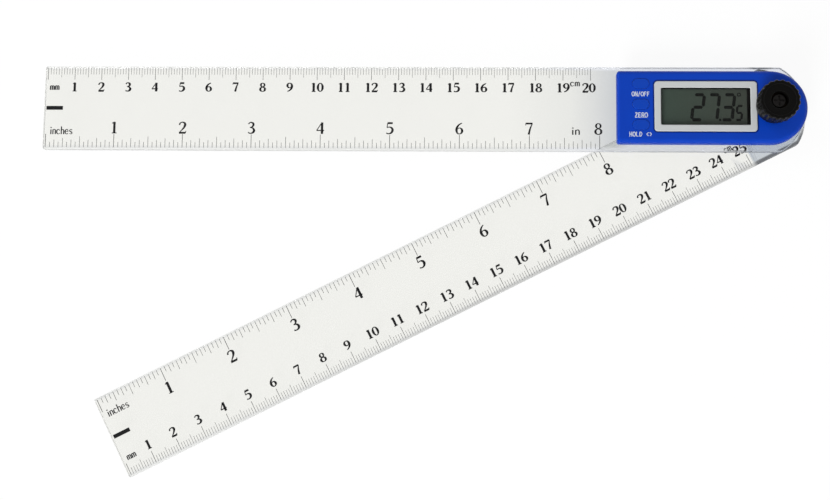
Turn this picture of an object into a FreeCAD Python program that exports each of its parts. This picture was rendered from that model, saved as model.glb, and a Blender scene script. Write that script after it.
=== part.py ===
import FreeCAD, Part
import math
import os

from FreeCAD import Vector

# Digital angle finder: two clear rulers that turn on one pivot, with the electronics on the upper one.
# Millimetres. The origin is on the pivot axis at the underside of the lower arm, +Z is up, and the upper
# arm runs along -X from the pivot to its tip.

# Arms. Their width follows from the cell that the upper one has to hold.
arm_thickness = 3.0
zero_to_pivot = 264.8
tip_past_zero = 1.1
arm_end_reach = 12.5
arm_end_bow = 8.85
tip_corner_radius = 0.6
end_corner_radius = 1.5
arm_edge_chamfer = 0.25
rest_angle = 27.05
arm_gap = 0.3

# Hub of the lower arm, which carries the pivot
hub_start = 12.3
hub_step = 0.3
boss_radius = 7.5
boss_height = 1.4
bearing_clearance = 0.05

# Pivot stud, pressed into the hub from below
stud_radius = 2.0
stud_head_radius = 4.5
stud_flat_inset = 0.8
stud_head_height = 1.2
press_clearance = 0.01
stud_clearance = 0.08

# Rings round the stud
friction_washer_thickness = 0.3
rotor_thickness = 0.6
rotor_gap = 0.3
rotor_inset = 0.2
arm_washer_width = 1.2
arm_washer_clearance = 0.1

# Pocket in the upper arm, and the cover over it
pocket_floor = 1.2
cover_side_margin = 2.2
cover_wall = 1.0
cover_top = 1.2
cover_shoulder_round = 1.6
cover_left_round = 1.0
pocket_corner_radius = 0.4
tube_wall = 1.5

# Screws that hold the cover from below
cover_screw_radius = 0.8
cover_screw_head_radius = 1.5
cover_screw_head_height = 0.8
cover_screw_length = 5.0
cover_screw_tip_room = 0.3
cover_boss_wall = 0.9
cover_boss_bite = 0.2
screw_clearance = 0.02
screw_passage = 0.1
cross_width = 0.35
cross_depth = 0.4

# Circuit board, on pads that stand on the pocket's floor
board_thickness = 0.8
board_edge_gap = 0.2
board_hole_gap = 0.3
board_screw_radius = 0.6
board_screw_head_radius = 1.25
board_screw_head_height = 0.7
board_screw_reach = 1.4
board_screw_x = 13.0
board_screw_inset = 2.2
pad_radius = 1.2
screw_pad_wall = 1.0
end_pad_angle = 40.0

# Coin cell and its round door, with lugs that turn in under the pocket's floor
cell_radius = 10.0
cell_height = 3.2
cell_near_side = 23.0
cell_clearance = 0.15
cell_board_gap = 0.2
board_bridge = 1.9
door_thickness = 0.8
door_ring_wall = 0.45
door_clearance = 0.1
lug_reach = 0.8
lug_height = 0.45
lug_play = 0.05
lug_width_deg = 24.0
lug_slack_deg = 2.0
lug_count = 3
door_turn_deg = 45.0
coin_slot_length = 12.0
coin_slot_width = 1.5
coin_slot_depth = 0.4

# Battery contacts, cut from spring strip
strip_thickness = 0.2
minus_width = 2.6
minus_leaf_reach = 5.0
minus_foot = 2.2
plus_width = 5.0
plus_foot = 1.3
foot_edge_gap = 0.2
foot_dome_gap = 0.7

# Display
bezel_tube_gap = 1.47
opening_length = 31.9
opening_width = 13.6
frame_end_border = 2.35
frame_side_border = 2.4
bezel_corner_radius = 1.2
bezel_proud = 0.4
bezel_wall = 1.0
bezel_lip = 0.7
bezel_lip_thickness = 0.8
bezel_fit = 0.1
bezel_edge_round = 0.3
bezel_room_corner_radius = 0.2
opening_corner_radius = 0.5
opening_bevel = 0.2
window_thickness = 0.8
window_overlap = 1.2
window_fit = 0.1
window_lip = 0.3
gasket_thickness = 0.4
gasket_border = 0.3
gasket_border_right = 1.1
panel_thickness = 1.4
panel_fit = 0.1
hook_width = 6.0
hook_reach = 0.5
hook_height = 0.35
hook_gap = 0.25
zebra_width = 1.8
zebra_inset = 0.6
zebra_end_gap = 1.0

# Keys
key_length = 6.0
key_width = 3.6
key_pitch = 7.55
key_wall_gap = 1.7
key_bezel_gap = 0.4
key_end_margin = 5.4
key_proud = 0.2
key_fit = 0.1
key_lip = 0.5
key_lip_thickness = 0.8
key_stem_radius = 1.1
key_edge_round = 0.15
key_rest_gap = 0.05
dome_radius = 2.0
dome_height = 0.5
dome_wall = 0.1

# Board components
chip_radius = 3.1
chip_contact_gap = 1.3
chip_y = 3.4
chip_height = 1.1
crystal_radius = 0.75
crystal_length = 5.0
crystal_panel_gap = 0.2
crystal_x = 20.0
crystal_y = -6.6
capacitor_length = 1.6
capacitor_width = 0.8
capacitor_height = 0.8
capacitor_zebra_gap = 2.0
capacitor_y = -5.6
capacitor_pitch = 1.6
capacitor_count = 4

# Lock knob, its thread insert, and the screw that keeps it on the stud
knob_washer_thickness = 0.8
knob_washer_radius = 5.0
knob_collar_step = 0.9
knob_collar_height = 4.3
knob_radius = 7.3
knob_rim_height = 5.8
knob_edge_chamfer = 0.5
knob_dish_land = 1.6
knob_dish_depth = 0.3
flute_count = 20
flute_radius = 0.75
flute_depth = 0.35
insert_radius = 3.3
insert_height = 6.0
insert_ledge = 0.2
thread_clearance = 0.05
knob_lift_room = 0.9
knob_screw_radius = 1.0
knob_screw_length = 4.5
knob_screw_head_radius = 2.5
knob_screw_head_height = 1.3
knob_screw_edge_round = 0.4
knob_screw_cross_width = 0.7
knob_screw_cross_depth = 0.7

overrun = 1.0
same_level = 0.001

# Levels of the stack, from the table up
lower_top = arm_thickness
upper_bottom = lower_top + arm_gap
upper_top = upper_bottom + arm_thickness
floor_top = upper_bottom + pocket_floor
boss_top = lower_top + boss_height
tube_bottom = boss_top + friction_washer_thickness
rotor_top = boss_top + rotor_thickness
board_bottom = rotor_top + rotor_gap
board_top = board_bottom + board_thickness
door_top = upper_bottom + door_thickness
cell_top = door_top + cell_height
crystal_top = board_top + 2 * crystal_radius
panel_bottom = max(cell_top + hook_gap + hook_height, crystal_top + crystal_panel_gap)
panel_top = panel_bottom + panel_thickness
window_bottom = panel_top + gasket_thickness
window_top = window_bottom + window_thickness
bezel_top = window_top + window_lip
cover_top_z = bezel_top - bezel_proud
cover_inside = cover_top_z - cover_top
knob_bottom = cover_top_z + knob_washer_thickness
rim_bottom = knob_bottom + knob_collar_height
knob_top = rim_bottom + knob_rim_height
insert_top = knob_bottom + insert_height
stud_top = insert_top + knob_lift_room

# Plan sizes that follow from the above
cover_half = cell_radius + cell_board_gap + board_bridge + board_edge_gap + cover_wall
half_width = cover_half + cover_side_margin
tip_x = -(zero_to_pivot + tip_past_zero)
cover_end_x = arm_end_reach - cover_half
tube_inner = stud_radius + stud_clearance
tube_outer = tube_inner + tube_wall
bearing_radius = boss_radius + bearing_clearance
cover_boss_radius = cover_screw_radius + screw_clearance + cover_boss_wall
cover_boss_inset = cover_wall + cover_boss_radius - cover_boss_bite
board_inset = cover_wall + board_edge_gap
board_half = cover_half - board_inset
cell_wall_radius = cell_radius + cell_clearance
door_radius = cell_wall_radius + door_ring_wall
lug_radius = door_radius + lug_reach
cell_hole_radius = cell_radius + cell_board_gap
cell_x = cell_near_side + cell_radius
minus_contact_end = cell_x - cell_hole_radius - foot_edge_gap - minus_foot
chip_x = minus_contact_end - chip_contact_gap - chip_radius
bezel_length = opening_length + 2 * frame_end_border
bezel_width = opening_width + 2 * frame_side_border
display_near_side = tube_outer + bezel_lip + bezel_tube_gap
display_x = display_near_side + bezel_length / 2
zebra_near_side = display_near_side + bezel_wall + panel_fit + zebra_inset
capacitor_x = zebra_near_side + zebra_width + capacitor_zebra_gap + capacitor_length
past_display = display_near_side + bezel_length + bezel_lip + key_bezel_gap + key_lip
past_cell = cell_x + cell_radius + strip_thickness + plus_foot + foot_dome_gap
key_x = max(past_display + key_length / 2, past_cell + dome_radius)
cover_length = key_x + key_length / 2 + key_end_margin
knob_collar_radius = knob_radius - knob_collar_step
key_first_y = cover_half - cover_wall - key_wall_gap - key_lip - key_width / 2
key_rows = {
    "on_off": key_first_y,
    "zero": key_first_y - key_pitch,
    "hold": key_first_y - 2 * key_pitch,
}


def slab(wire, low, high):
    """Closed wire in the plane Z = 0, raised into a solid between two levels."""
    wire = wire.copy()
    wire.translate(Vector(0, 0, low))
    return Part.Face(wire).extrude(Vector(0, 0, high - low))


def disc(radius, low, high, x=0, y=0):
    return Part.makeCylinder(radius, high - low, Vector(x, y, low))


def ring(inner, outer, low, high, x=0, y=0):
    return disc(outer, low, high, x, y).cut(disc(inner, low, high, x, y))


def block(x0, x1, y0, y1, z0, z1):
    return Part.makeBox(x1 - x0, y1 - y0, z1 - z0, Vector(x0, y0, z0))


def level_edges(shape, level):
    """Edges that lie flat at one level."""
    found = []
    for edge in shape.Edges:
        middle = edge.valueAt((edge.FirstParameter + edge.LastParameter) / 2)
        heights = [vertex.Z for vertex in edge.Vertexes] + [middle.z]
        if all(abs(height - level) < same_level for height in heights):
            found.append(edge)
    return found


def upright_edges(shape, x_low, x_high):
    """Straight upright edges between two places along X."""
    found = []
    for edge in shape.Edges:
        first, last = edge.Vertexes[0].Point, edge.Vertexes[-1].Point
        flat = math.hypot(first.x - last.x, first.y - last.y)
        upright = flat < same_level < abs(first.z - last.z)
        if upright and x_low < first.x < x_high:
            found.append(edge)
    return found


def rounded_box(x, y, length, width, corner, low, high):
    """Upright box about a centre, with its four upright edges rounded."""
    solid = block(x - length / 2, x + length / 2, y - width / 2, y + width / 2, low, high)
    return solid.makeFillet(corner, upright_edges(solid, x - length, x + length))


def stadium(x, y, length, width, low, high):
    """Bar with two half-round ends."""
    straight = (length - width) / 2
    radius = width / 2
    corners = [
        Vector(x - straight, y - radius, 0),
        Vector(x + straight, y - radius, 0),
        Vector(x + straight, y + radius, 0),
        Vector(x - straight, y + radius, 0),
    ]
    right = Part.Arc(corners[1], Vector(x + straight + radius, y, 0), corners[2])
    left = Part.Arc(corners[3], Vector(x - straight - radius, y, 0), corners[0])
    wire = Part.Wire(
        [
            Part.makeLine(corners[0], corners[1]),
            right.toShape(),
            Part.makeLine(corners[2], corners[3]),
            left.toShape(),
        ]
    )
    return slab(wire, low, high)


def sector(inner, outer, low, high, middle_deg, width_deg, x, y):
    """Part of a ring, centred on one direction."""
    wedge = Part.makeCylinder(
        outer, high - low, Vector(x, y, low), Vector(0, 0, 1), width_deg
    )
    wedge.rotate(Vector(x, y, 0), Vector(0, 0, 1), middle_deg - width_deg / 2)
    return wedge.cut(disc(inner, low - overrun, high + overrun, x, y))


def cross_recess(shape, x, y, mouth, depth, width, length, up):
    """Cuts a cross for a screwdriver into a head, from its mouth inwards."""
    low, high = (mouth - depth, mouth + overrun) if up else (mouth - overrun, mouth + depth)
    along = block(x - length / 2, x + length / 2, y - width / 2, y + width / 2, low, high)
    across = block(x - width / 2, x + width / 2, y - length / 2, y + length / 2, low, high)
    return shape.cut(along).cut(across)


def swung(shape):
    """Turns a piece of the lower arm from the closed position to the angle at rest."""
    shape.rotate(Vector(0, 0, 0), Vector(0, 0, 1), rest_angle)
    return shape


def arm_blank(low, high):
    """Strip with a square tip and a shallow arc at the pivot end, its edges taken off."""
    corner_x = arm_end_reach - arm_end_bow
    tip_low = Vector(tip_x, -half_width, 0)
    end_low = Vector(corner_x, -half_width, 0)
    end_high = Vector(corner_x, half_width, 0)
    tip_high = Vector(tip_x, half_width, 0)
    end = Part.Arc(end_low, Vector(arm_end_reach, 0, 0), end_high)
    wire = Part.Wire(
        [
            Part.makeLine(tip_low, end_low),
            end.toShape(),
            Part.makeLine(end_high, tip_high),
            Part.makeLine(tip_high, tip_low),
        ]
    )
    blank = slab(wire, low, high)
    blank = blank.makeFillet(end_corner_radius, upright_edges(blank, 0, arm_end_reach))
    near_tip = tip_x + 2 * tip_corner_radius
    blank = blank.makeFillet(
        tip_corner_radius, upright_edges(blank, tip_x - overrun, near_tip)
    )
    rims = level_edges(blank, low) + level_edges(blank, high)
    return blank.makeChamfer(arm_edge_chamfer, rims)


def housing_blank(inset, low, high):
    """Outline of the cover, drawn in by an inset: square at the left, half round at the pivot."""
    half = cover_half - inset
    left = -(cover_length - inset)
    low_left = Vector(left, -half, 0)
    low_end = Vector(cover_end_x, -half, 0)
    high_end = Vector(cover_end_x, half, 0)
    high_left = Vector(left, half, 0)
    end = Part.Arc(low_end, Vector(cover_end_x + half, 0, 0), high_end)
    wire = Part.Wire(
        [
            Part.makeLine(low_left, low_end),
            end.toShape(),
            Part.makeLine(high_end, high_left),
            Part.makeLine(high_left, low_left),
        ]
    )
    return slab(wire, low, high)


def housing_slab(inset, corner, low, high):
    """The same outline with its two corners at the left rounded."""
    solid = housing_blank(inset, low, high)
    left = -(cover_length - inset)
    return solid.makeFillet(corner, upright_edges(solid, left - corner, left + corner))


def edges_at_left(shape, left, above):
    """Edges that lie wholly in the left face, over a level."""
    found = []
    for edge in shape.Edges:
        points = [edge.valueAt(edge.FirstParameter), edge.valueAt(edge.LastParameter)]
        in_face = all(abs(point.x - left) < same_level for point in points)
        if in_face and max(point.z for point in points) > above + same_level:
            found.append(edge)
    return found


def cover_screw_places():
    left = -(cover_length - cover_boss_inset)
    side = cover_half - cover_boss_inset
    return [(x, y) for x in (left, cover_end_x) for y in (-side, side)]


def board_screw_places():
    side = board_half - board_screw_inset
    return [(-board_screw_x, -side), (-board_screw_x, side)]


def plain_pad_places():
    """Two pads between the keys and two past the bearing."""
    between = [(-key_x, key_first_y - key_pitch * step) for step in (1 / 2, 3 / 2)]
    middle = (bearing_radius + cover_half - cover_wall) / 2
    turn = math.radians(end_pad_angle)
    past = [(middle * math.cos(a), middle * math.sin(a)) for a in (-turn, turn)]
    return between + past


def lug_angles():
    return [step * 360.0 / lug_count for step in range(lug_count)]


def make_lower_ruler():
    """Clear arm with a hub one step thicker than the blade, and the bearing boss on the hub."""
    blade = arm_blank(0, lower_top - hub_step)
    hub = arm_blank(0, lower_top)
    slope = Part.makePolygon(
        [
            Vector(-hub_start, -half_width - overrun, -overrun),
            Vector(-hub_start, -half_width - overrun, lower_top - hub_step),
            Vector(-hub_start + hub_step, -half_width - overrun, lower_top),
            Vector(-hub_start + hub_step, -half_width - overrun, lower_top + overrun),
            Vector(arm_end_reach + overrun, -half_width - overrun, lower_top + overrun),
            Vector(arm_end_reach + overrun, -half_width - overrun, -overrun),
            Vector(-hub_start, -half_width - overrun, -overrun),
        ]
    )
    keep = Part.Face(slope).extrude(Vector(0, 2 * (half_width + overrun), 0))
    arm = blade.fuse(hub.common(keep)).fuse(disc(boss_radius, lower_top - hub_step, boss_top))
    arm = arm.cut(disc(stud_radius + press_clearance, -overrun, boss_top + overrun))
    arm = arm.cut(stud_head(press_clearance, -overrun, stud_head_height))
    return swung(arm.removeSplitter())


def stud_head(grow, low, high):
    """Flat head with two flats, which keep it from turning in the hub."""
    radius = stud_head_radius + grow
    across = 2 * (stud_head_radius - stud_flat_inset + grow)
    flats = block(-radius, radius, -across / 2, across / 2, low, high)
    return disc(radius, low, high).common(flats)


def make_pivot_stud():
    stud = stud_head(0, 0, stud_head_height).fuse(disc(stud_radius, 0, stud_top))
    hole = disc(
        knob_screw_radius + screw_clearance, stud_top - knob_screw_length, stud_top + overrun
    )
    return swung(stud.cut(hole).removeSplitter())


def make_friction_washer():
    return ring(stud_radius + stud_clearance, tube_outer, boss_top, tube_bottom)


def make_rotor_ring():
    inner = tube_outer + board_hole_gap
    return ring(inner, boss_radius - rotor_inset, boss_top, rotor_top)


def make_arm_washer():
    inner = boss_radius + arm_washer_clearance
    return ring(inner, inner + arm_washer_width, lower_top, upper_bottom)


def make_upper_ruler():
    """Clear arm with a pocket for the electronics, a bearing hole, pads and a hole for the door."""
    arm = arm_blank(upper_bottom, upper_top)
    pocket = housing_slab(cover_wall, pocket_corner_radius, floor_top, upper_top + overrun)
    well = disc(
        lug_radius + cell_clearance, floor_top, upper_top + overrun, -cell_x
    )
    arm = arm.cut(pocket).cut(well)
    for x, y in plain_pad_places():
        arm = arm.fuse(disc(pad_radius, floor_top, board_bottom, x, y))
    for x, y in board_screw_places():
        pad = disc(board_screw_radius + screw_pad_wall, floor_top, board_bottom, x, y)
        hole_bottom = board_bottom - board_screw_reach
        hole = disc(board_screw_radius + screw_clearance, hole_bottom, board_bottom, x, y)
        arm = arm.fuse(pad).cut(hole)
    through_low, through_high = upper_bottom - overrun, floor_top + same_level
    arm = arm.cut(disc(bearing_radius, through_low, through_high))
    arm = arm.cut(disc(door_radius + door_clearance, through_low, through_high, -cell_x))
    for angle in lug_angles():
        way_in = sector(
            cell_radius,
            lug_radius + door_clearance,
            through_low,
            through_high,
            angle + door_turn_deg,
            lug_width_deg + 2 * lug_slack_deg,
            -cell_x,
            0,
        )
        arm = arm.cut(way_in)
    for x, y in cover_screw_places():
        passage = disc(cover_screw_radius + screw_passage, through_low, through_high, x, y)
        arm = arm.cut(passage).cut(cover_screw_head(x, y))
    return arm.removeSplitter()


def cover_screw_head(x, y):
    return Part.makeCone(
        cover_screw_head_radius,
        cover_screw_radius,
        cover_screw_head_height,
        Vector(x, y, upper_bottom),
    )


def make_cover_screws():
    screws = []
    for x, y in cover_screw_places():
        shank = disc(cover_screw_radius, upper_bottom, upper_bottom + cover_screw_length, x, y)
        screw = cover_screw_head(x, y).fuse(shank).removeSplitter()
        length = 2 * cover_screw_radius
        screw = cross_recess(
            screw, x, y, upper_bottom, cross_depth, cross_width, length, up=False
        )
        screws.append(screw)
    return Part.makeCompound(screws)


def make_blue_cover():
    """Shell with screw bosses and a centre tube, which carries the knob's clamping force down."""
    cover = housing_blank(0, upper_top, cover_top_z)
    top_edges = level_edges(cover, cover_top_z)
    shoulder = [edge for edge in top_edges if edge.BoundBox.XMax > same_level - cover_length]
    cover = cover.makeFillet(cover_shoulder_round, shoulder)
    cover = cover.makeFillet(cover_left_round, edges_at_left(cover, -cover_length, upper_top))
    room = housing_slab(cover_wall, pocket_corner_radius, upper_top, cover_inside)
    cover = cover.cut(room)
    gap = board_edge_gap / 2
    pocket_room = housing_slab(cover_wall + gap, pocket_corner_radius, floor_top, upper_top)
    hole_top = upper_bottom + cover_screw_length + cover_screw_tip_room
    for x, y in cover_screw_places():
        upper_part = disc(cover_boss_radius, upper_top, cover_inside, x, y)
        lower_part = disc(cover_boss_radius, floor_top, upper_top, x, y).common(pocket_room)
        hole = disc(cover_screw_radius + screw_clearance, floor_top - overrun, hole_top, x, y)
        cover = cover.fuse(upper_part).fuse(lower_part).cut(hole)
    cover = cover.fuse(disc(tube_outer, tube_bottom, cover_inside))
    cover = cover.cut(disc(tube_inner, tube_bottom - overrun, cover_top_z + overrun))
    opening = rounded_box(
        -display_x,
        0,
        bezel_length + 2 * bezel_fit,
        bezel_width + 2 * bezel_fit,
        bezel_corner_radius + bezel_fit,
        cover_inside - overrun / 2,
        cover_top_z + overrun,
    )
    cover = cover.cut(opening)
    for y in key_rows.values():
        length, width = key_length + 2 * key_fit, key_width + 2 * key_fit
        low, high = cover_inside - overrun / 2, cover_top_z + overrun
        cover = cover.cut(stadium(-key_x, y, length, width, low, high))
    return cover.removeSplitter()


def make_key(y):
    """Low key with a lip that holds it under the cover and a stem down to its dome."""
    lip_bottom = cover_inside - key_lip_thickness
    top = cover_top_z + key_proud
    key = stadium(-key_x, y, key_length, key_width, lip_bottom, top)
    key = key.makeFillet(key_edge_round, level_edges(key, top))
    length, width = key_length + 2 * key_lip, key_width + 2 * key_lip
    lip = stadium(-key_x, y, length, width, lip_bottom, cover_inside)
    stem_bottom = board_top + dome_height + key_rest_gap
    stem = disc(key_stem_radius, stem_bottom, lip_bottom, -key_x, y)
    return key.fuse(lip).fuse(stem).removeSplitter()


def make_dome(y):
    """Snap dome: a shallow cap of a sphere, open below."""
    sphere_radius = (dome_radius**2 + dome_height**2) / (2 * dome_height)
    centre = Vector(-key_x, y, board_top + dome_height - sphere_radius)
    shell = Part.makeSphere(sphere_radius, centre)
    shell = shell.cut(Part.makeSphere(sphere_radius - dome_wall, centre))
    return shell.common(disc(dome_radius + overrun, board_top, upper_top + overrun, -key_x, y))


def make_circuit_board():
    board = housing_slab(board_inset, pocket_corner_radius, board_bottom, board_top)
    low, high = board_bottom - overrun, board_top + overrun
    board = board.cut(disc(tube_outer + board_hole_gap, low, high))
    board = board.cut(disc(cell_hole_radius, low, high, -cell_x))
    for x, y in cover_screw_places():
        board = board.cut(disc(cover_boss_radius + board_hole_gap, low, high, x, y))
    for x, y in board_screw_places():
        board = board.cut(disc(board_screw_radius + screw_passage, low, high, x, y))
    return board


def make_board_screws():
    screws = []
    for x, y in board_screw_places():
        head_top = board_top + board_screw_head_height
        head = disc(board_screw_head_radius, board_top, head_top, x, y)
        shank = disc(board_screw_radius, board_bottom - board_screw_reach, board_top, x, y)
        length = 2 * board_screw_radius
        screw = head.fuse(shank).removeSplitter()
        screw = cross_recess(
            screw, x, y, head_top, cross_depth, cross_width, length, up=True
        )
        screws.append(screw)
    return Part.makeCompound(screws)


def make_controller_chip():
    """Chip under a low drop of resin."""
    sphere_radius = (chip_radius**2 + chip_height**2) / (2 * chip_height)
    centre = Vector(-chip_x, chip_y, board_top + chip_height - sphere_radius)
    drop = Part.makeSphere(sphere_radius, centre)
    return drop.common(
        disc(chip_radius + overrun, board_top, board_top + chip_height + overrun, -chip_x, chip_y)
    )


def make_timing_crystal():
    start = Vector(-crystal_x, crystal_y, board_top + crystal_radius)
    return Part.makeCylinder(crystal_radius, crystal_length, start, Vector(1, 0, 0))


def make_capacitors():
    blocks = []
    for step in range(capacitor_count):
        y = capacitor_y + step * capacitor_pitch
        x = -capacitor_x
        top = board_top + capacitor_height
        blocks.append(block(x, x + capacitor_length, y, y + capacitor_width, board_top, top))
    return Part.makeCompound(blocks)


def make_coin_cell():
    """Cell with its narrower cap upwards and a small step round the cap."""
    step = cell_clearance
    can = disc(cell_radius, door_top, cell_top - step, -cell_x)
    cap = disc(cell_radius - 2 * door_ring_wall, cell_top - step, cell_top, -cell_x)
    return can.fuse(cap).removeSplitter()


def make_battery_door():
    door = disc(door_radius, upper_bottom, door_top, -cell_x)
    lug_bottom = floor_top + lug_play
    lug_top = lug_bottom + lug_height
    door = door.fuse(ring(cell_wall_radius, door_radius, door_top, lug_top, -cell_x))
    for angle in lug_angles():
        lug = sector(
            cell_wall_radius, lug_radius, lug_bottom, lug_top, angle, lug_width_deg, -cell_x, 0
        )
        door = door.fuse(lug)
    slot = rounded_box(
        -cell_x,
        0,
        coin_slot_width,
        coin_slot_length,
        coin_slot_width / 2 - same_level,
        upper_bottom - overrun,
        upper_bottom + coin_slot_depth,
    )
    return door.cut(slot).removeSplitter()


def make_battery_minus_contact():
    """Strip soldered to the board beside the cell, with a leaf that lies on the cell's cap."""
    edge = -cell_x + cell_hole_radius
    back = edge + foot_edge_gap
    half = minus_width / 2
    foot = block(back, back + minus_foot, -half, half, board_top, board_top + strip_thickness)
    leaf_top = cell_top + strip_thickness
    upright = block(back, back + strip_thickness, -half, half, board_top, leaf_top)
    leaf = block(edge - minus_leaf_reach, back + strip_thickness, -half, half, cell_top, leaf_top)
    return foot.fuse(upright).fuse(leaf).removeSplitter()


def make_battery_plus_contact():
    """Strip that bears on the side of the cell, on the side of the keys."""
    side = -cell_x - cell_radius
    half = plus_width / 2
    can_top = cell_top - 2 * cell_clearance
    upright = block(side - strip_thickness, side, -half, half, board_top, can_top)
    back = side - strip_thickness
    foot = block(back - plus_foot, back, -half, half, board_top, board_top + strip_thickness)
    return foot.fuse(upright).removeSplitter()


def make_display_bezel():
    """Frame that stands up through the cover, with a lip under it and a hook for the panel."""
    lip_bottom = cover_inside - bezel_lip_thickness
    bezel = rounded_box(
        -display_x, 0, bezel_length, bezel_width, bezel_corner_radius, lip_bottom, bezel_top
    )
    bezel = bezel.makeFillet(bezel_edge_round, level_edges(bezel, bezel_top))
    lip = rounded_box(
        -display_x,
        0,
        bezel_length + 2 * bezel_lip,
        bezel_width + 2 * bezel_lip,
        bezel_corner_radius + bezel_lip,
        lip_bottom,
        cover_inside,
    )
    room = rounded_box(
        -display_x,
        0,
        bezel_length - 2 * bezel_wall,
        bezel_width - 2 * bezel_wall,
        bezel_room_corner_radius,
        lip_bottom - overrun,
        window_bottom,
    )
    seat = rounded_box(
        -display_x,
        0,
        opening_length + 2 * window_overlap + window_fit,
        opening_width + 2 * window_overlap + window_fit,
        opening_corner_radius,
        window_bottom - same_level,
        window_top,
    )
    opening = rounded_box(
        -display_x,
        0,
        opening_length,
        opening_width,
        opening_corner_radius,
        window_bottom,
        bezel_top + overrun,
    )
    bezel = bezel.fuse(lip).cut(room).cut(seat).cut(opening)
    rim = [
        edge
        for edge in level_edges(bezel, bezel_top)
        if abs(edge.CenterOfMass.y) <= opening_width / 2 + same_level
        and abs(edge.CenterOfMass.x + display_x) <= opening_length / 2 + same_level
    ]
    bezel = bezel.makeChamfer(opening_bevel, rim)
    left = -display_x - bezel_length / 2
    hook_bottom = panel_bottom - hook_height
    half = hook_width / 2
    post = block(left, left + bezel_wall, -half, half, hook_bottom, lip_bottom)
    ledge = block(left, left + bezel_wall + hook_reach, -half, half, hook_bottom, panel_bottom)
    return bezel.fuse(post).fuse(ledge).removeSplitter()


def make_display_window():
    return rounded_box(
        -display_x,
        0,
        opening_length + 2 * window_overlap,
        opening_width + 2 * window_overlap,
        opening_corner_radius,
        window_bottom,
        window_top,
    )


def panel_size():
    """Length and width of what lies in the bezel."""
    length = bezel_length - 2 * bezel_wall - 2 * panel_fit
    width = bezel_width - 2 * bezel_wall - 2 * panel_fit
    return length, width


def make_display_gasket():
    """Black frame between the panel and the window, wider at the right."""
    length, width = panel_size()
    gasket = rounded_box(
        -display_x, 0, length, width, bezel_room_corner_radius, panel_top, window_bottom
    )
    left = -display_x - opening_length / 2 + gasket_border
    right = -display_x + opening_length / 2 - gasket_border_right
    half = opening_width / 2 - gasket_border
    low, high = panel_top - overrun, window_bottom + overrun
    return gasket.cut(block(left, right, -half, half, low, high))


def make_lcd_panel():
    length, width = panel_size()
    return block(
        -display_x - length / 2,
        -display_x + length / 2,
        -width / 2,
        width / 2,
        panel_bottom,
        panel_top,
    )


def make_zebra_strip():
    """Rubber strip that joins the board to the panel's right end."""
    length, width = panel_size()
    right = -display_x + length / 2 - zebra_inset
    half = width / 2 - zebra_end_gap
    return block(right - zebra_width, right, -half, half, board_top, panel_bottom)


def make_knob_washer():
    return ring(
        stud_radius + stud_clearance, knob_washer_radius, cover_top_z, knob_bottom
    )


def make_lock_knob():
    """Knob with a fluted rim over a narrower collar, and a recess over the thread insert."""
    collar = disc(knob_collar_radius, knob_bottom, rim_bottom)
    rim = disc(knob_radius, rim_bottom, knob_top)
    ends = level_edges(rim, rim_bottom) + level_edges(rim, knob_top)
    knob = collar.fuse(rim.makeChamfer(knob_edge_chamfer, ends))
    flute_place = knob_radius + flute_radius - flute_depth
    for step in range(flute_count):
        angle = 2 * math.pi * step / flute_count
        x, y = flute_place * math.cos(angle), flute_place * math.sin(angle)
        flute = disc(flute_radius, rim_bottom - overrun, knob_top + overrun, x, y)
        knob = knob.cut(flute)
    recess_radius = insert_radius - insert_ledge
    seat = disc(insert_radius + press_clearance, knob_bottom - overrun, insert_top)
    dish = disc(knob_radius - knob_dish_land, knob_top - knob_dish_depth, knob_top + overrun)
    knob = knob.cut(seat).cut(disc(recess_radius, insert_top, knob_top + overrun)).cut(dish)
    return knob.removeSplitter()


def make_knob_insert():
    return ring(stud_radius + thread_clearance, insert_radius, knob_bottom, insert_top)


def make_knob_screw():
    """Screw in the end of the stud, whose head stops the knob from coming off."""
    head_top = stud_top + knob_screw_head_height
    head = disc(knob_screw_head_radius, stud_top, head_top)
    head = head.makeFillet(knob_screw_edge_round, level_edges(head, head_top))
    shank_bottom = stud_top - knob_screw_length + screw_clearance
    screw = head.fuse(disc(knob_screw_radius, shank_bottom, stud_top)).removeSplitter()
    return cross_recess(
        screw,
        0,
        0,
        head_top,
        knob_screw_cross_depth,
        knob_screw_cross_width,
        2 * (knob_screw_head_radius - knob_screw_cross_width),
        up=True,
    )


def make_parts():
    parts = {
        "lower_ruler": make_lower_ruler(),
        "pivot_stud": make_pivot_stud(),
        "friction_washer": make_friction_washer(),
        "rotor_ring": make_rotor_ring(),
        "arm_washer": make_arm_washer(),
        "knob_screw": make_knob_screw(),
        "upper_ruler": make_upper_ruler(),
        "blue_cover": make_blue_cover(),
        "cover_screws": make_cover_screws(),
        "circuit_board": make_circuit_board(),
        "board_screws": make_board_screws(),
        "controller_chip": make_controller_chip(),
        "timing_crystal": make_timing_crystal(),
        "capacitors": make_capacitors(),
        "coin_cell": make_coin_cell(),
        "battery_plus_contact": make_battery_plus_contact(),
        "battery_minus_contact": make_battery_minus_contact(),
        "battery_door": make_battery_door(),
        "display_bezel": make_display_bezel(),
        "display_window": make_display_window(),
        "display_gasket": make_display_gasket(),
        "lcd_panel": make_lcd_panel(),
        "zebra_strip": make_zebra_strip(),
        "knob_washer": make_knob_washer(),
        "lock_knob": make_lock_knob(),
        "knob_insert": make_knob_insert(),
    }
    for name, y in key_rows.items():
        parts[name + "_key"] = make_key(y)
        parts[name + "_dome"] = make_dome(y)
    return parts


os.makedirs("parts", exist_ok=True)
for name, shape in make_parts().items():
    if not shape.isValid():
        print("not valid:", name)
    print(f"{name}: {len(shape.Solids)} solid, {shape.Volume:.1f} mm3")
    shape.exportStep("parts/" + name + ".step")
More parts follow.
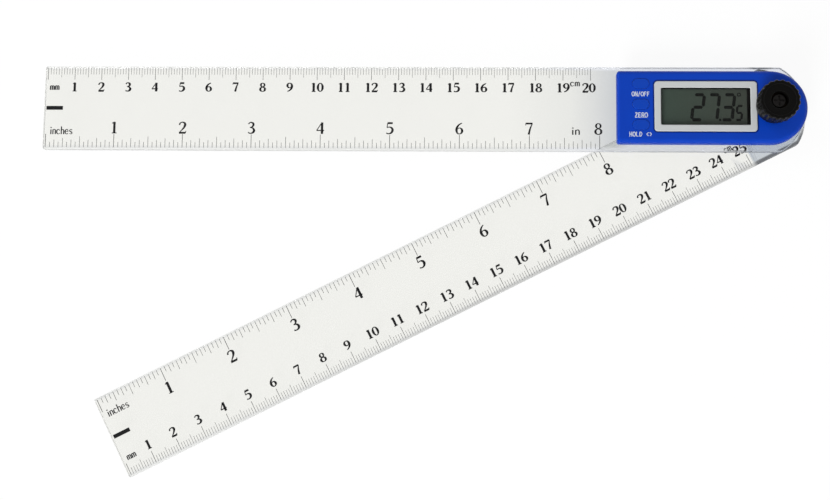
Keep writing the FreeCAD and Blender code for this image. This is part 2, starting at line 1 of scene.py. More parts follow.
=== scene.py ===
# %% [markdown]
# # A digital angle finder
#
# The object is two clear plastic rulers that turn on one pivot. The upper one carries a blue
# housing with a display, three keys and a black lock knob. Its parts come from a CAD model, so
# every place and size is settled before this file starts. What is left for Blender is what a
# camera sees: plastic that bends light, printing, the digits of the display, and soft light.

import bpy
import numpy as np
from mathutils import Euler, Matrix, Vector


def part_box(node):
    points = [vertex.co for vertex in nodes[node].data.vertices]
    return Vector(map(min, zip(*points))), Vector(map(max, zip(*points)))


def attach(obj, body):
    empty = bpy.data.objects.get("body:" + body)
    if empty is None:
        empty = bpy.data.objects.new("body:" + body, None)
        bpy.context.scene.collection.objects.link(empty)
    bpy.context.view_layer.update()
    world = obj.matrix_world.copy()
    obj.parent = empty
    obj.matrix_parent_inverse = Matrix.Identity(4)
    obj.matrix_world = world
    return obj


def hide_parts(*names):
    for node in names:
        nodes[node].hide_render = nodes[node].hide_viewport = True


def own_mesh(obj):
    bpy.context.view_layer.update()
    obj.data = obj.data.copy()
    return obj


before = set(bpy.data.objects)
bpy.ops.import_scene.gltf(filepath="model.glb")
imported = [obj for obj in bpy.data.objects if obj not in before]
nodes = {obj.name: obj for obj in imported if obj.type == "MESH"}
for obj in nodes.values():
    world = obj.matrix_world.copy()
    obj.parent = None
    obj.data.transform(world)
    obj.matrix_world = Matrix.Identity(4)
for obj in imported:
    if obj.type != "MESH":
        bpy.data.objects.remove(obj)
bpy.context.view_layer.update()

# %% [markdown]
# Blender works in metres and a maker thinks in millimetres. Every size below is written in
# millimetres and multiplied once, when its points go into a mesh. The two arms share one set of
# printing, so a place on either is written as (along, across): along runs from the tip at the
# left to the pivot at zero, and across is the distance from the arm's centre line. The lower
# arm's hub stands higher than its face, so that face is the only one typed here.

# %% Measures
MM = 0.001
REST_ANGLE = np.radians(27.05)
ZERO_MARK = -264.8
HALF_WIDTH = 15.5
END_REACH = 12.5
END_RADIUS = 18.0
INCH = 25.4


def on_upper_arm(points):
    """Upper arm: its own axes are the axes of the whole object."""
    return points


def on_lower_arm(points):
    """Lower arm: turned about the pivot, x = u cos a - v sin a and y = u sin a + v cos a."""
    turned = points.copy()
    cosine, sine = np.cos(REST_ANGLE), np.sin(REST_ANGLE)
    turned[:, 0] = points[:, 0] * cosine - points[:, 1] * sine
    turned[:, 1] = points[:, 0] * sine + points[:, 1] * cosine
    return turned


def add_object(name, data):
    """A new object in the scene, at the origin."""
    made = bpy.data.objects.new(name, data)
    bpy.context.scene.collection.objects.link(made)
    return made


low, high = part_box("upper_ruler")
UPPER_FACE = high.z / MM
low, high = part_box("blue_cover")
COVER_FACE = high.z / MM
low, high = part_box("lcd_panel")
PANEL_FACE = high.z / MM
LOWER_FACE = 2.7
print(f"faces at {LOWER_FACE:.1f}, {UPPER_FACE:.1f}, {PANEL_FACE:.1f} and {COVER_FACE:.1f} mm")

# %% [markdown]
# ## The camera
#
# The photograph was taken from above, with the whole tool in view. The printed centimetre marks
# are a measuring grid, so the camera's place and lens could be worked out from where the marks
# fall in the picture. The lens is given by Blender's usual 36 mm sensor. Nothing is shifted or
# blurred, so the other views can reuse the same camera.

# %% Make the camera
FRAME_WIDTH_PX = 830
FOCAL_PX = 1323.5
SENSOR_MM = 36.0
CAMERA_PLACE = (-0.10849, -0.11129, 0.47925)
CAMERA_TURN = (0.124674, 0.039855, 0.011960)

camera_data = bpy.data.cameras.new("photo_camera")
camera_data.sensor_width = SENSOR_MM
camera_data.sensor_fit = "HORIZONTAL"
camera_data.lens = FOCAL_PX / FRAME_WIDTH_PX * SENSOR_MM
camera_data.clip_start = 0.01
camera = add_object("photo_camera", camera_data)
camera.location = CAMERA_PLACE
camera.rotation_euler = Euler(CAMERA_TURN, "XYZ")
bpy.context.scene.camera = camera
print(f"lens {camera_data.lens:.1f} mm")

# %% [markdown]
# ## Node materials, briefly
#
# Every finish is a Principled shader with small nodes in front of it. Patterns read Object
# coordinates, which are metres here because each object sits at the origin, so a scale of 1000
# makes a pattern one millimetre across. Values that are the same all over the surface are typed
# on the shader's own sockets, and only colour, roughness and bump come from textures.

# %% Material helpers
def new_material(name, colour, roughness, **sockets):
    """A Principled material. Returns the material, its node tree and the shader."""
    material = bpy.data.materials.new(name)
    material.use_nodes = True
    tree = material.node_tree
    shader = tree.nodes["Principled BSDF"]
    shader.inputs["Base Color"].default_value = (*colour, 1)
    shader.inputs["Roughness"].default_value = roughness
    for socket, value in sockets.items():
        shader.inputs[socket.replace("_", " ")].default_value = value
    return material, tree, shader


def object_coordinates(tree, scale, turn=0.0):
    """Object coordinates turned about z, times a scale that is one number or one per axis."""
    place = tree.nodes.new("ShaderNodeTexCoord")
    mapping = tree.nodes.new("ShaderNodeMapping")
    mapping.inputs["Rotation"].default_value = (0, 0, turn)
    mapping.inputs["Scale"].default_value = scale if isinstance(scale, tuple) else (scale,) * 3
    tree.links.new(place.outputs["Object"], mapping.inputs["Vector"])
    return mapping.outputs["Vector"]


def noise(tree, scale, detail=2.0):
    """Cloudy noise, with scale in repeats per metre. Gives 0 to 1."""
    texture = tree.nodes.new("ShaderNodeTexNoise")
    texture.inputs["Scale"].default_value = 1.0
    texture.inputs["Detail"].default_value = detail
    tree.links.new(object_coordinates(tree, scale), texture.inputs["Vector"])
    return texture.outputs["Fac"]


def tint_between(tree, value, first, second, socket):
    """Mixes two colours by a number from 0 to 1, and sends the mix to a colour socket."""
    mix = tree.nodes.new("ShaderNodeMix")
    mix.data_type = "RGBA"
    mix.inputs["A"].default_value = (*first, 1)
    mix.inputs["B"].default_value = (*second, 1)
    tree.links.new(value, mix.inputs["Factor"])
    tree.links.new(mix.outputs["Result"], socket)
    return mix


def raise_surface(tree, shader, value, height_mm):
    """Bump: the surface seems to rise by height_mm where the value is 1."""
    bump = tree.nodes.new("ShaderNodeBump")
    bump.inputs["Distance"].default_value = height_mm * MM
    bump.inputs["Strength"].default_value = 1.0
    tree.links.new(value, bump.inputs["Height"])
    tree.links.new(bump.outputs["Normal"], shader.inputs["Normal"])


def dress(node_names, material):
    """Gives CAD nodes their finish. Their meshes and places stay as they are."""
    for name in node_names:
        nodes[name].data.materials.clear()
        nodes[name].data.materials.append(material)
    print(material.name, "on", ", ".join(node_names))


# %% [markdown]
# Masks and fades are sums done by nodes, so they get helpers of their own: one sum, the three
# axes of a place, a range sent to another range, and what kind of ray is looking.

# %% Number helpers
def math(tree, operation, *values):
    """One Math node. Each value is a number or a socket."""
    node = tree.nodes.new("ShaderNodeMath")
    node.operation = operation
    for socket, value in zip(node.inputs, values):
        if isinstance(value, (int, float)):
            socket.default_value = value
        else:
            tree.links.new(value, socket)
    return node.outputs["Value"]


def axes(tree, vector):
    """The x, y and z of a vector socket, each as a number socket."""
    split = tree.nodes.new("ShaderNodeSeparateXYZ")
    tree.links.new(vector, split.inputs["Vector"])
    return [split.outputs[axis] for axis in "XYZ"]


def rescale(tree, value, start, end, low=0.0, high=1.0, way="LINEAR"):
    """Sends start..end of a number to low..high. Past either end it stays there."""
    ramp = tree.nodes.new("ShaderNodeMapRange")
    ramp.interpolation_type = way
    for name, number in (("From Min", start), ("From Max", end), ("To Min", low), ("To Max", high)):
        ramp.inputs[name].default_value = number
    tree.links.new(value, ramp.inputs["Value"])
    return ramp.outputs["Result"]


def spread_over(tree, value, low, high, socket):
    """Sends 0.3..0.7 of a noise, which is most of it, to low..high and on to a socket."""
    tree.links.new(rescale(tree, value, 0.3, 0.7, low, high), socket)


def any_ray(tree, *kinds):
    """1 for a ray of any of the named kinds, and 0 for the rest."""
    rays = tree.nodes.new("ShaderNodeLightPath")
    total = rays.outputs[kinds[0]]
    for kind in kinds[1:]:
        total = math(tree, "MAXIMUM", total, rays.outputs[kind])
    return total


# %% [markdown]
# ## Moulded plastic
#
# Housings like this are moulded in a steel tool whose walls were spark eroded, and the pits of
# the tool come out as a fine grain. Two noises do it: one of about 0.12 mm for the grain, and
# one of some millimetres for the slight unevenness of gloss and colour that handling leaves.
# One function makes all the opaque plastics, because they differ only in colour, gloss and grain.

# %% Grained plastic
def grained_plastic(name, colour, darker, roughness, grain_mm, grain_height_mm, **sockets):
    """Moulded plastic: colour mottled towards darker, gloss that varies, and a fine grain."""
    material, tree, shader = new_material(name, colour, roughness, **sockets)
    clouds = noise(tree, 160, 3.0)
    tint_between(tree, clouds, colour, darker, shader.inputs["Base Color"])
    spread_over(tree, clouds, roughness - 0.05, roughness + 0.07, shader.inputs["Roughness"])
    repeats = 1 / (grain_mm * MM)
    raise_surface(tree, shader, noise(tree, repeats), grain_height_mm)
    return material


blue_shell = grained_plastic(
    "blue_shell", (0.001, 0.058, 0.57), (0.001, 0.050, 0.50), 0.44, 0.14, 0.006,
    Specular_IOR_Level=0.3,
)
blue_keycap = grained_plastic(
    "blue_keycap", (0.001, 0.064, 0.57), (0.001, 0.056, 0.50), 0.28, 0.10, 0.003,
    Specular_IOR_Level=0.5,
)
grey_frame = grained_plastic(
    "grey_frame", (0.68, 0.70, 0.70), (0.63, 0.65, 0.66), 0.38, 0.12, 0.003,
    Specular_IOR_Level=0.3,
)
black_moulding = grained_plastic(
    "black_moulding", (0.006, 0.0055, 0.005), (0.004, 0.004, 0.004), 0.34, 0.16, 0.008,
    Specular_IOR_Level=0.15,
)
natural_nylon = grained_plastic(
    "natural_nylon", (0.78, 0.77, 0.72), (0.70, 0.69, 0.63), 0.42, 0.3, 0.004
)
dark_nylon = grained_plastic(
    "dark_nylon", (0.014, 0.014, 0.014), (0.009, 0.009, 0.009), 0.5, 0.3, 0.006
)
dress(["blue_cover"], blue_shell)
dress(["on_off_key", "zero_key", "hold_key"], blue_keycap)
dress(["display_bezel"], grey_frame)
dress(["battery_door"], black_moulding)
dress(["friction_washer", "arm_washer"], natural_nylon)
dress(["knob_washer"], dark_nylon)

# %% [markdown]
# ## Clear acrylic
#
# The rulers bend light, so they are real glass shaders of index 1.49 and not thin transparency:
# that is what doubles the edges and draws some of the lines round the hub. The side walls are
# duller than the polished faces, so the surface's own upright direction mixes in a rougher finish.
# Walls and a rim about 1 mm wide are darker, a painted shade for the dark lines at the edges. Near
# the housing and on the hub a ramp along the arm paints the plastic greyer and bluer: painted
# shade and a painted reflection of the blue housing, with painted dark lines round the hub as well.
# And shadow rays and scattered rays pass through a tinted Transparent shader, because light
# sampled through a refracting plate would leave a black shadow on the table.

# %% Clear plastic
LOW_SIDE_SHARE = 0.7
ROUND_END_START = -20
FAR_AWAY = 1000
RIM_FULL, RIM_GONE = 0.8, 1.1
UPRIGHT_NONE, UPRIGHT_FULL = 0.95, 0.35


def place_on_arm(tree, turn):
    """Millimetres along and across an arm, after turning the object's own coordinates."""
    return axes(tree, object_coordinates(tree, 1 / MM, turn))[:2]


def edge_share(tree, along, across):
    """Painted shade mask: 1 on a rim about 1 mm wide, and 1.4 along the low side, by edge distance.
    """
    to_side = math(tree, "SUBTRACT", HALF_WIDTH, across)
    to_low_side = math(tree, "ADD", HALF_WIDTH, across)
    to_side = math(tree, "MINIMUM", to_side, math(tree, "MULTIPLY", to_low_side, LOW_SIDE_SHARE))
    from_centre = math(tree, "ADD", along, END_RADIUS - END_REACH)
    squares = math(tree, "ADD", math(tree, "POWER", from_centre, 2), math(tree, "POWER", across, 2))
    to_end = math(tree, "SUBTRACT", END_RADIUS, math(tree, "SQRT", squares))
    straight_part = math(tree, "SUBTRACT", 1, math(tree, "GREATER_THAN", along, ROUND_END_START))
    to_end = math(tree, "ADD", to_end, math(tree, "MULTIPLY", straight_part, FAR_AWAY))
    return rescale(tree, math(tree, "MINIMUM", to_side, to_end), RIM_GONE, RIM_FULL)


def tint_ramp(tree, along, stops):
    """Colour from (millimetres, colour) stops, straight from one stop to the next."""
    first, last = stops[0][0], stops[-1][0]
    ramp = tree.nodes.new("ShaderNodeValToRGB")
    elements = ramp.color_ramp.elements
    for _ in stops[2:]:
        elements.new(0.5)
    for element, (place, colour) in zip(elements, stops):
        element.position = (place - first) / (last - first)
        element.color = (*colour, 1)
    tree.links.new(rescale(tree, along, first, last), ramp.inputs["Fac"])
    return ramp.outputs["Color"]


def wall_share(tree):
    """1 on upright walls and 0 on level faces, from how far the normal points up or down."""
    geometry = tree.nodes.new("ShaderNodeNewGeometry")
    upward = axes(tree, geometry.outputs["True Normal"])[2]
    return rescale(tree, math(tree, "ABSOLUTE", upward), UPRIGHT_NONE, UPRIGHT_FULL)


def clear_plastic(name, turn, face_tint_and_shade_stops, rim_shade_stops, roughness, wall_roughness):
    """Refracting plastic of index 1.49. Faces and rim take tint and painted shade from ramps."""
    material, tree, shader = new_material(name, face_tint_and_shade_stops[0][1], roughness)
    shader.inputs["Transmission Weight"].default_value = 1.0
    shader.inputs["IOR"].default_value = 1.49
    along, across = place_on_arm(tree, turn)
    walls = wall_share(tree)
    rim = math(tree, "MAXIMUM", walls, edge_share(tree, along, across))
    tint = tint_between(tree, rim, (1, 1, 1), (1, 1, 1), shader.inputs["Base Color"])
    tree.links.new(tint_ramp(tree, along, face_tint_and_shade_stops), tint.inputs["A"])
    tree.links.new(tint_ramp(tree, along, rim_shade_stops), tint.inputs["B"])
    clouds = rescale(tree, noise(tree, 90, 3.0), 0.0, 1.0, 0.0, 0.02)
    duller = math(tree, "MULTIPLY_ADD", walls, wall_roughness, clouds)
    tree.links.new(duller, shader.inputs["Roughness"])
    raise_surface(tree, shader, noise(tree, 60, 1.0), 0.02)
    passing = tree.nodes.new("ShaderNodeBsdfTransparent")
    passing.inputs["Color"].default_value = (0.96, 0.96, 0.96, 1)
    blend = tree.nodes.new("ShaderNodeMixShader")
    tree.links.new(any_ray(tree, "Is Shadow Ray", "Is Diffuse Ray"), blend.inputs["Fac"])
    tree.links.new(shader.outputs["BSDF"], blend.inputs[1])
    tree.links.new(passing.outputs["BSDF"], blend.inputs[2])
    tree.links.new(blend.outputs["Shader"], tree.nodes["Material Output"].inputs["Surface"])
    return material


# BARE is the plastic's own tint. The other colours are painted light: painted shade on walls and
# edges, and painted shade with a painted reflection of the blue housing near housing and hub.
BARE, RIM_SHADE = (0.937, 0.937, 0.900), (0.84, 0.845, 0.83)
HOUSING_SHADE_AND_REFLECTION = (0.82, 0.84, 0.90)
HUB_STEP_SHADE, HUB_SHADE_AND_REFLECTION, HUB_RIM_SHADE = (0.5, 0.54, 0.58), (0.63, 0.67, 0.70), (0.22, 0.23, 0.25)
POLISHED, SAWN = 0.0, 0.7
# The upper arm greys towards the housing: painted shade and a painted reflection of its blue.
upper_acrylic = clear_plastic(
    "upper_acrylic",
    0.0,
    [(-95, BARE), (-72, (0.87, 0.875, 0.845)), (-64, (0.78, 0.79, 0.78)),
     (-56, (0.66, 0.68, 0.70)), (-50, HOUSING_SHADE_AND_REFLECTION), (12, HOUSING_SHADE_AND_REFLECTION)],
    [(-95, RIM_SHADE), (-50, HOUSING_SHADE_AND_REFLECTION), (12, HOUSING_SHADE_AND_REFLECTION)],
    POLISHED, SAWN,
)
# The lower arm's hub: a painted dark line at its step, painted shade and reflection over it, and a
# painted dark rim.
lower_acrylic = clear_plastic(
    "lower_acrylic",
    -REST_ANGLE,
    [(-13.5, BARE), (-13.3, HUB_STEP_SHADE), (-12.6, HUB_STEP_SHADE), (-12.3, HUB_SHADE_AND_REFLECTION), (7, HUB_SHADE_AND_REFLECTION),
     (11, (0.88, 0.89, 0.88))],
    [(-14, RIM_SHADE), (-12.3, HUB_RIM_SHADE), (6, HUB_RIM_SHADE), (10.5, (0.9, 0.9, 0.9))],
    POLISHED, SAWN,
)
dress(["upper_ruler"], upper_acrylic)
dress(["lower_ruler"], lower_acrylic)

# %% [markdown]
# The window over the display is the same plastic, thin and flat. It has no zones, so both its
# ramps run from one colour to the same colour, and its rim is a little darker: painted shade.

# %% Display window
window_acrylic = clear_plastic(
    "window_acrylic", 0.0, [(-50, (0.97, 0.98, 0.97)), (0, (0.97, 0.98, 0.97))],
    [(-50, (0.9, 0.9, 0.9)), (0, (0.9, 0.9, 0.9))], POLISHED, 0.1,
)
dress(["display_window"], window_acrylic)

# %% [markdown]
# ## Shade round the frame
#
# The frame stands in an opening of the cover, and the corner between the two lies in shade. The
# cover's colour darkens there over the last half millimetre, by the distance to the frame's
# outline: a painted shade, so the frame reads as a part of its own. The lower arm has painted
# shade of the same kind along its low edge, for the look of its cut wall seen through the face.
# It fades towards the tip, because the wall there stands straight below the eye.

# %% Shade the cover round the frame
FRAME_LIP = 0.7
FRAME_CORNER = 1.2
LOW_EDGE_START = -120
LOW_EDGE_FADE = 0.01


def distance_to_box(tree, centre_x, half_x, half_y, corner):
    """Distance in mm outside a rounded rectangle: |max(|p - c| - h + r, 0)| - r."""
    x, y, _ = axes(tree, object_coordinates(tree, 1 / MM))
    beyond = []
    for place, half in ((math(tree, "SUBTRACT", x, centre_x), half_x), (y, half_y)):
        out = math(tree, "SUBTRACT", math(tree, "ABSOLUTE", place), half - corner)
        beyond.append(math(tree, "POWER", math(tree, "MAXIMUM", out, 0.0), 2.0))
    return math(tree, "SUBTRACT", math(tree, "SQRT", math(tree, "ADD", *beyond)), corner)


def shade_near(material, distance, full, faded, shade):
    """Multiplies the base colour by a painted shade up to `full` mm away, fading out by `faded` mm.
    """
    tree = material.node_tree
    colour = tree.nodes["Principled BSDF"].inputs["Base Color"]
    plain = colour.links[0].from_socket
    darker = tree.nodes.new("ShaderNodeMix")
    darker.data_type = "RGBA"
    darker.blend_type = "MULTIPLY"
    darker.inputs["Factor"].default_value = 1.0
    tree.links.new(plain, darker.inputs["A"])
    tree.links.new(rescale(tree, distance, full, faded, shade, 1.0), darker.inputs["B"])
    tree.links.new(darker.outputs["Result"], colour)


low, high = (np.array(corner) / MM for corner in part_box("display_bezel"))
centre_x = (low[0] + high[0]) / 2
half_x, half_y = (high - low)[:2] / 2 - FRAME_LIP
# Painted shade on the cover in the corner round the frame.
frame_shade_distance = distance_to_box(blue_shell.node_tree, centre_x, half_x, half_y, FRAME_CORNER)
shade_near(blue_shell, frame_shade_distance, full=0.25, faded=0.7, shade=0.3)

# Painted shade along the lower arm's low edge, fading towards the tip.
tree = lower_acrylic.node_tree
along, across = place_on_arm(tree, -REST_ANGLE)
past_start = math(tree, "MAXIMUM", math(tree, "SUBTRACT", LOW_EDGE_START, along), 0.0)
to_low_edge = math(tree, "ADD", across, HALF_WIDTH)
from_low_edge = math(tree, "MULTIPLY_ADD", past_start, LOW_EDGE_FADE, to_low_edge)
shade_near(lower_acrylic, from_low_edge, full=0.4, faded=1.6, shade=0.7)
print("cover shaded round the frame, and the lower arm along its low edge")

# %% [markdown]
# ## Metal, board and rubber
#
# Most of what follows hides in the housing, and shows only from below through the clear floor of
# the pocket. It still gets its own finish, because a part that is taken apart shows all of it.
# Drawn or rolled metal has fine lines one way, so its noise is stretched. Turned metal would
# have rings, but at these sizes a fine grain in the roughness reads the same.

# %% Metals
def worked_metal(name, colour, darker, roughness, stretch):
    """Metal with fine lines: the noise is stretched, stretch being its repeats per metre."""
    material, tree, shader = new_material(name, colour, roughness, Metallic=1.0)
    lines = noise(tree, stretch, 3.0)
    tint_between(tree, lines, colour, darker, shader.inputs["Base Color"])
    spread_over(tree, lines, roughness - 0.08, roughness + 0.1, shader.inputs["Roughness"])
    raise_surface(tree, shader, lines, 0.002)
    return material


nickel_plate = worked_metal(
    "nickel_plate", (0.64, 0.62, 0.58), (0.55, 0.53, 0.5), 0.28, (900, 900, 5000)
)
cell_can = worked_metal(
    "cell_can", (0.66, 0.66, 0.65), (0.56, 0.56, 0.56), 0.22, (300, 6000, 300)
)
rolled_strip = worked_metal(
    "rolled_strip", (0.72, 0.66, 0.52), (0.62, 0.56, 0.44), 0.25, (6000, 500, 500)
)
turned_brass = worked_metal(
    "turned_brass", (0.13, 0.09, 0.06), (0.08, 0.058, 0.042), 0.35, (800, 800, 8000)
)
black_oxide = worked_metal(
    "black_oxide", (0.11, 0.10, 0.098), (0.07, 0.066, 0.064), 0.3, 2500
)
dress(["cover_screws", "board_screws", "pivot_stud", "timing_crystal"], nickel_plate)
dress(["coin_cell"], cell_can)
dress(
    ["battery_plus_contact", "battery_minus_contact", "on_off_dome", "zero_dome", "hold_dome"],
    rolled_strip,
)
dress(["knob_insert"], turned_brass)
dress(["knob_screw"], black_oxide)

# %% [markdown]
# The board is green lacquer over copper. Copper runs in straight lines, so the pattern is a
# Brick texture: its mortar is the gap between runs, and its rows are the runs. The encoder's
# turning ring is cut from the same board, so it wears the same finish.

# %% Board lacquer
board_green, tree, shader = new_material("board_green", (0.02, 0.15, 0.05), 0.3)
runs = tree.nodes.new("ShaderNodeTexBrick")
runs.inputs["Scale"].default_value = 1.0
runs.inputs["Color1"].default_value = (0.03, 0.22, 0.07, 1)
runs.inputs["Color2"].default_value = (0.02, 0.17, 0.05, 1)
runs.inputs["Mortar"].default_value = (0.012, 0.09, 0.03, 1)
runs.inputs["Mortar Size"].default_value = 0.14
runs.inputs["Brick Width"].default_value = 6.0
runs.inputs["Row Height"].default_value = 0.8
tree.links.new(object_coordinates(tree, 1 / MM), runs.inputs["Vector"])
tree.links.new(runs.outputs["Color"], shader.inputs["Base Color"])
raise_surface(tree, shader, runs.outputs["Fac"], -0.02)
dress(["circuit_board", "rotor_ring"], board_green)

# %% [markdown]
# Four small finishes are left. The resin drop over the chip is glossy and slightly lumpy. The
# ceramic capacitors are tan in the middle and tinned at both ends. The display's rubber joint is
# striped across, black where it conducts. The gasket is black foam, matt and pitted.

# %% Resin, ceramic, striped rubber and foam
resin_drop, tree, shader = new_material("resin_drop", (0.008, 0.008, 0.009), 0.12)
raise_surface(tree, shader, noise(tree, 700, 1.0), 0.05)
dress(["controller_chip"], resin_drop)


def stripes(tree, width_mm, share):
    """1 on a share of each width along y, from the fraction of position over width."""
    y = axes(tree, object_coordinates(tree, 1 / (width_mm * MM)))[1]
    return math(tree, "LESS_THAN", math(tree, "FRACT", y), share)


striped_rubber, tree, shader = new_material("striped_rubber", (0.5, 0.5, 0.5), 0.6)
tint_between(
    tree, stripes(tree, 0.2, 0.5), (0.55, 0.56, 0.58), (0.01, 0.01, 0.01),
    shader.inputs["Base Color"],
)
dress(["zebra_strip"], striped_rubber)

CERAMIC_HALF = 0.5
low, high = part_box("capacitors")
tinned_ceramic, tree, shader = new_material("tinned_ceramic", (0.42, 0.27, 0.14), 0.4)
x = axes(tree, object_coordinates(tree, 1 / MM))[0]
bare_part = math(tree, "COMPARE", x, (low.x + high.x) / 2 / MM, CERAMIC_HALF)
tint_between(
    tree, bare_part, (0.7, 0.7, 0.68), (0.42, 0.27, 0.14), shader.inputs["Base Color"]
)
raise_surface(tree, shader, noise(tree, 5000), 0.01)
dress(["capacitors"], tinned_ceramic)

foam = grained_plastic("foam", (0.006, 0.006, 0.006), (0.003, 0.003, 0.003), 0.8, 0.12, 0.05)
dress(["display_gasket"], foam)

# %% [markdown]
# ## The display's glass
#
# An unlit reflective display is a grey-green mirror behind a polariser, so it looks like dull
# paper with a faint sheen. The photograph shows it a little greener at the left and greyer at
# the right, with fine unevenness. A gradient along x mixes the two greens, and a tight noise
# stands in for the diffusing film.

# %% Display panel
display_film, tree, shader = new_material(
    "display_film", (0.035, 0.045, 0.035), 0.35, Specular_IOR_Level=0.1
)
PANEL_LEFT, PANEL_RIGHT = -40 * MM, -8 * MM
GREENER, GREYER = (0.056, 0.087, 0.068), (0.060, 0.072, 0.058)
x = axes(tree, object_coordinates(tree, 1))[0]
rightward = rescale(tree, x, PANEL_LEFT, PANEL_RIGHT)
mottled = math(tree, "MULTIPLY_ADD", noise(tree, 1500), 0.35, rightward)
tint_between(tree, mottled, GREENER, GREYER, shader.inputs["Base Color"])
raise_surface(tree, shader, noise(tree, 9000, 1.0), 0.004)
dress(["lcd_panel"], display_film)

# %% [markdown]
# ## Ink, and how it gets onto the plastic
#
# All printing here is real geometry, a layer of ink some hundredths of a millimetre thick, so it
# keeps its crisp edge in any view. One way to make a letter is a text object, but the fonts that
# come with Blender don't look like a ruler's narrow Roman figures. So each figure is a few pen
# strokes: a path, and the width of the pen at each point.
# Carrying a flat rectangle along the path gives a closed ribbon of ink. Where strokes cross, each
# lies a hair higher than the one before, so that no two faces share a plane and flicker.

# %% Ribbons of ink
INK_THICKNESS = 0.03
INK_GAP = 0.004
INK_LAYER = 0.003


def smooth_path(knots, count):
    """Catmull-Rom curve through knots (x, y, width): each point is the cubic of 4 knots."""
    knots = np.asarray(knots, float)
    ends = [2 * knots[0] - knots[1], 2 * knots[-1] - knots[-2]]
    padded = np.vstack([ends[0], knots, ends[1]])
    place = np.linspace(0, len(knots) - 1, count)
    first = np.minimum(place.astype(int), len(knots) - 2)
    t = (place - first)[:, None]
    a, b, c, d = (padded[first + step] for step in range(4))
    return 0.5 * (
        2 * b + (c - a) * t + (2 * a - 5 * b + 4 * c - d) * t**2 + (3 * b - a - 3 * c + d) * t**3
    )


def ring_path(x, y, across, tall, thick, thin, count=28):
    """Closed oval with thick sides and thin top and bottom, as a broad pen draws it."""
    turn = np.linspace(0, 2 * np.pi, count)
    width = thin + (thick - thin) * np.cos(turn) ** 2
    return np.stack([x + across * np.cos(turn), y + tall * np.sin(turn), width], 1)


def ribbon(path, bottom, top):
    """Closed strip: at each point the four corners are p + n w/2 and p - n w/2, low and high."""
    centre, width = path[:, :2], path[:, 2:]
    way = np.gradient(centre, axis=0)
    way /= np.linalg.norm(way, axis=1, keepdims=True) + 1e-12
    left = np.stack([-way[:, 1], way[:, 0]], 1) * width / 2
    count = len(path)
    corners = np.zeros((count, 4, 3))
    corners[:, 0, :2] = corners[:, 3, :2] = centre + left
    corners[:, 1, :2] = corners[:, 2, :2] = centre - left
    corners[:, :2, 2] = bottom
    corners[:, 2:, 2] = top
    start = 4 * np.arange(count - 1)[:, None]
    side = np.arange(4)
    after = (side + 1) % 4
    quads = np.stack([start + side, start + 4 + side, start + 4 + after, start + after], -1)
    last = 4 * (count - 1)
    caps = np.array([[0, 1, 2, 3], [last + 3, last + 2, last + 1, last]])
    return corners.reshape(-1, 3), np.vstack([quads.reshape(-1, 4), caps])


def gather(pieces):
    """Many (points, faces) as one: each piece's faces are shifted past the points before it."""
    shift, points, faces = 0, [], []
    for some_points, some_faces in pieces:
        points.append(some_points)
        faces.append(some_faces + shift)
        shift += len(some_points)
    return np.vstack(points), np.vstack(faces)


def add_piece(name, points, faces, body, material, slot, smooth=False):
    """Puts arrays of points in mm and of faces into a mesh, and lets it ride on a body."""
    mesh = bpy.data.meshes.new(name)
    mesh.from_pydata((points * MM).tolist(), [], faces.tolist())
    mesh.polygons.foreach_set("use_smooth", [smooth] * len(mesh.polygons))
    mesh.materials.append(material)
    mesh.update()
    piece = add_object(name, mesh)
    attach(piece, body)
    print(f"{name}: {len(faces)} faces")
    return piece


# %% [markdown]
# ## A ruler's figures
#
# Ruler figures are a narrow Roman type: heavy upright strokes, hairline joins and small feet.
# The table gives each figure in a box one unit tall and half a unit wide. A stroke of two knots
# is straight. Zero and eight are rings, and nine is six turned half round.

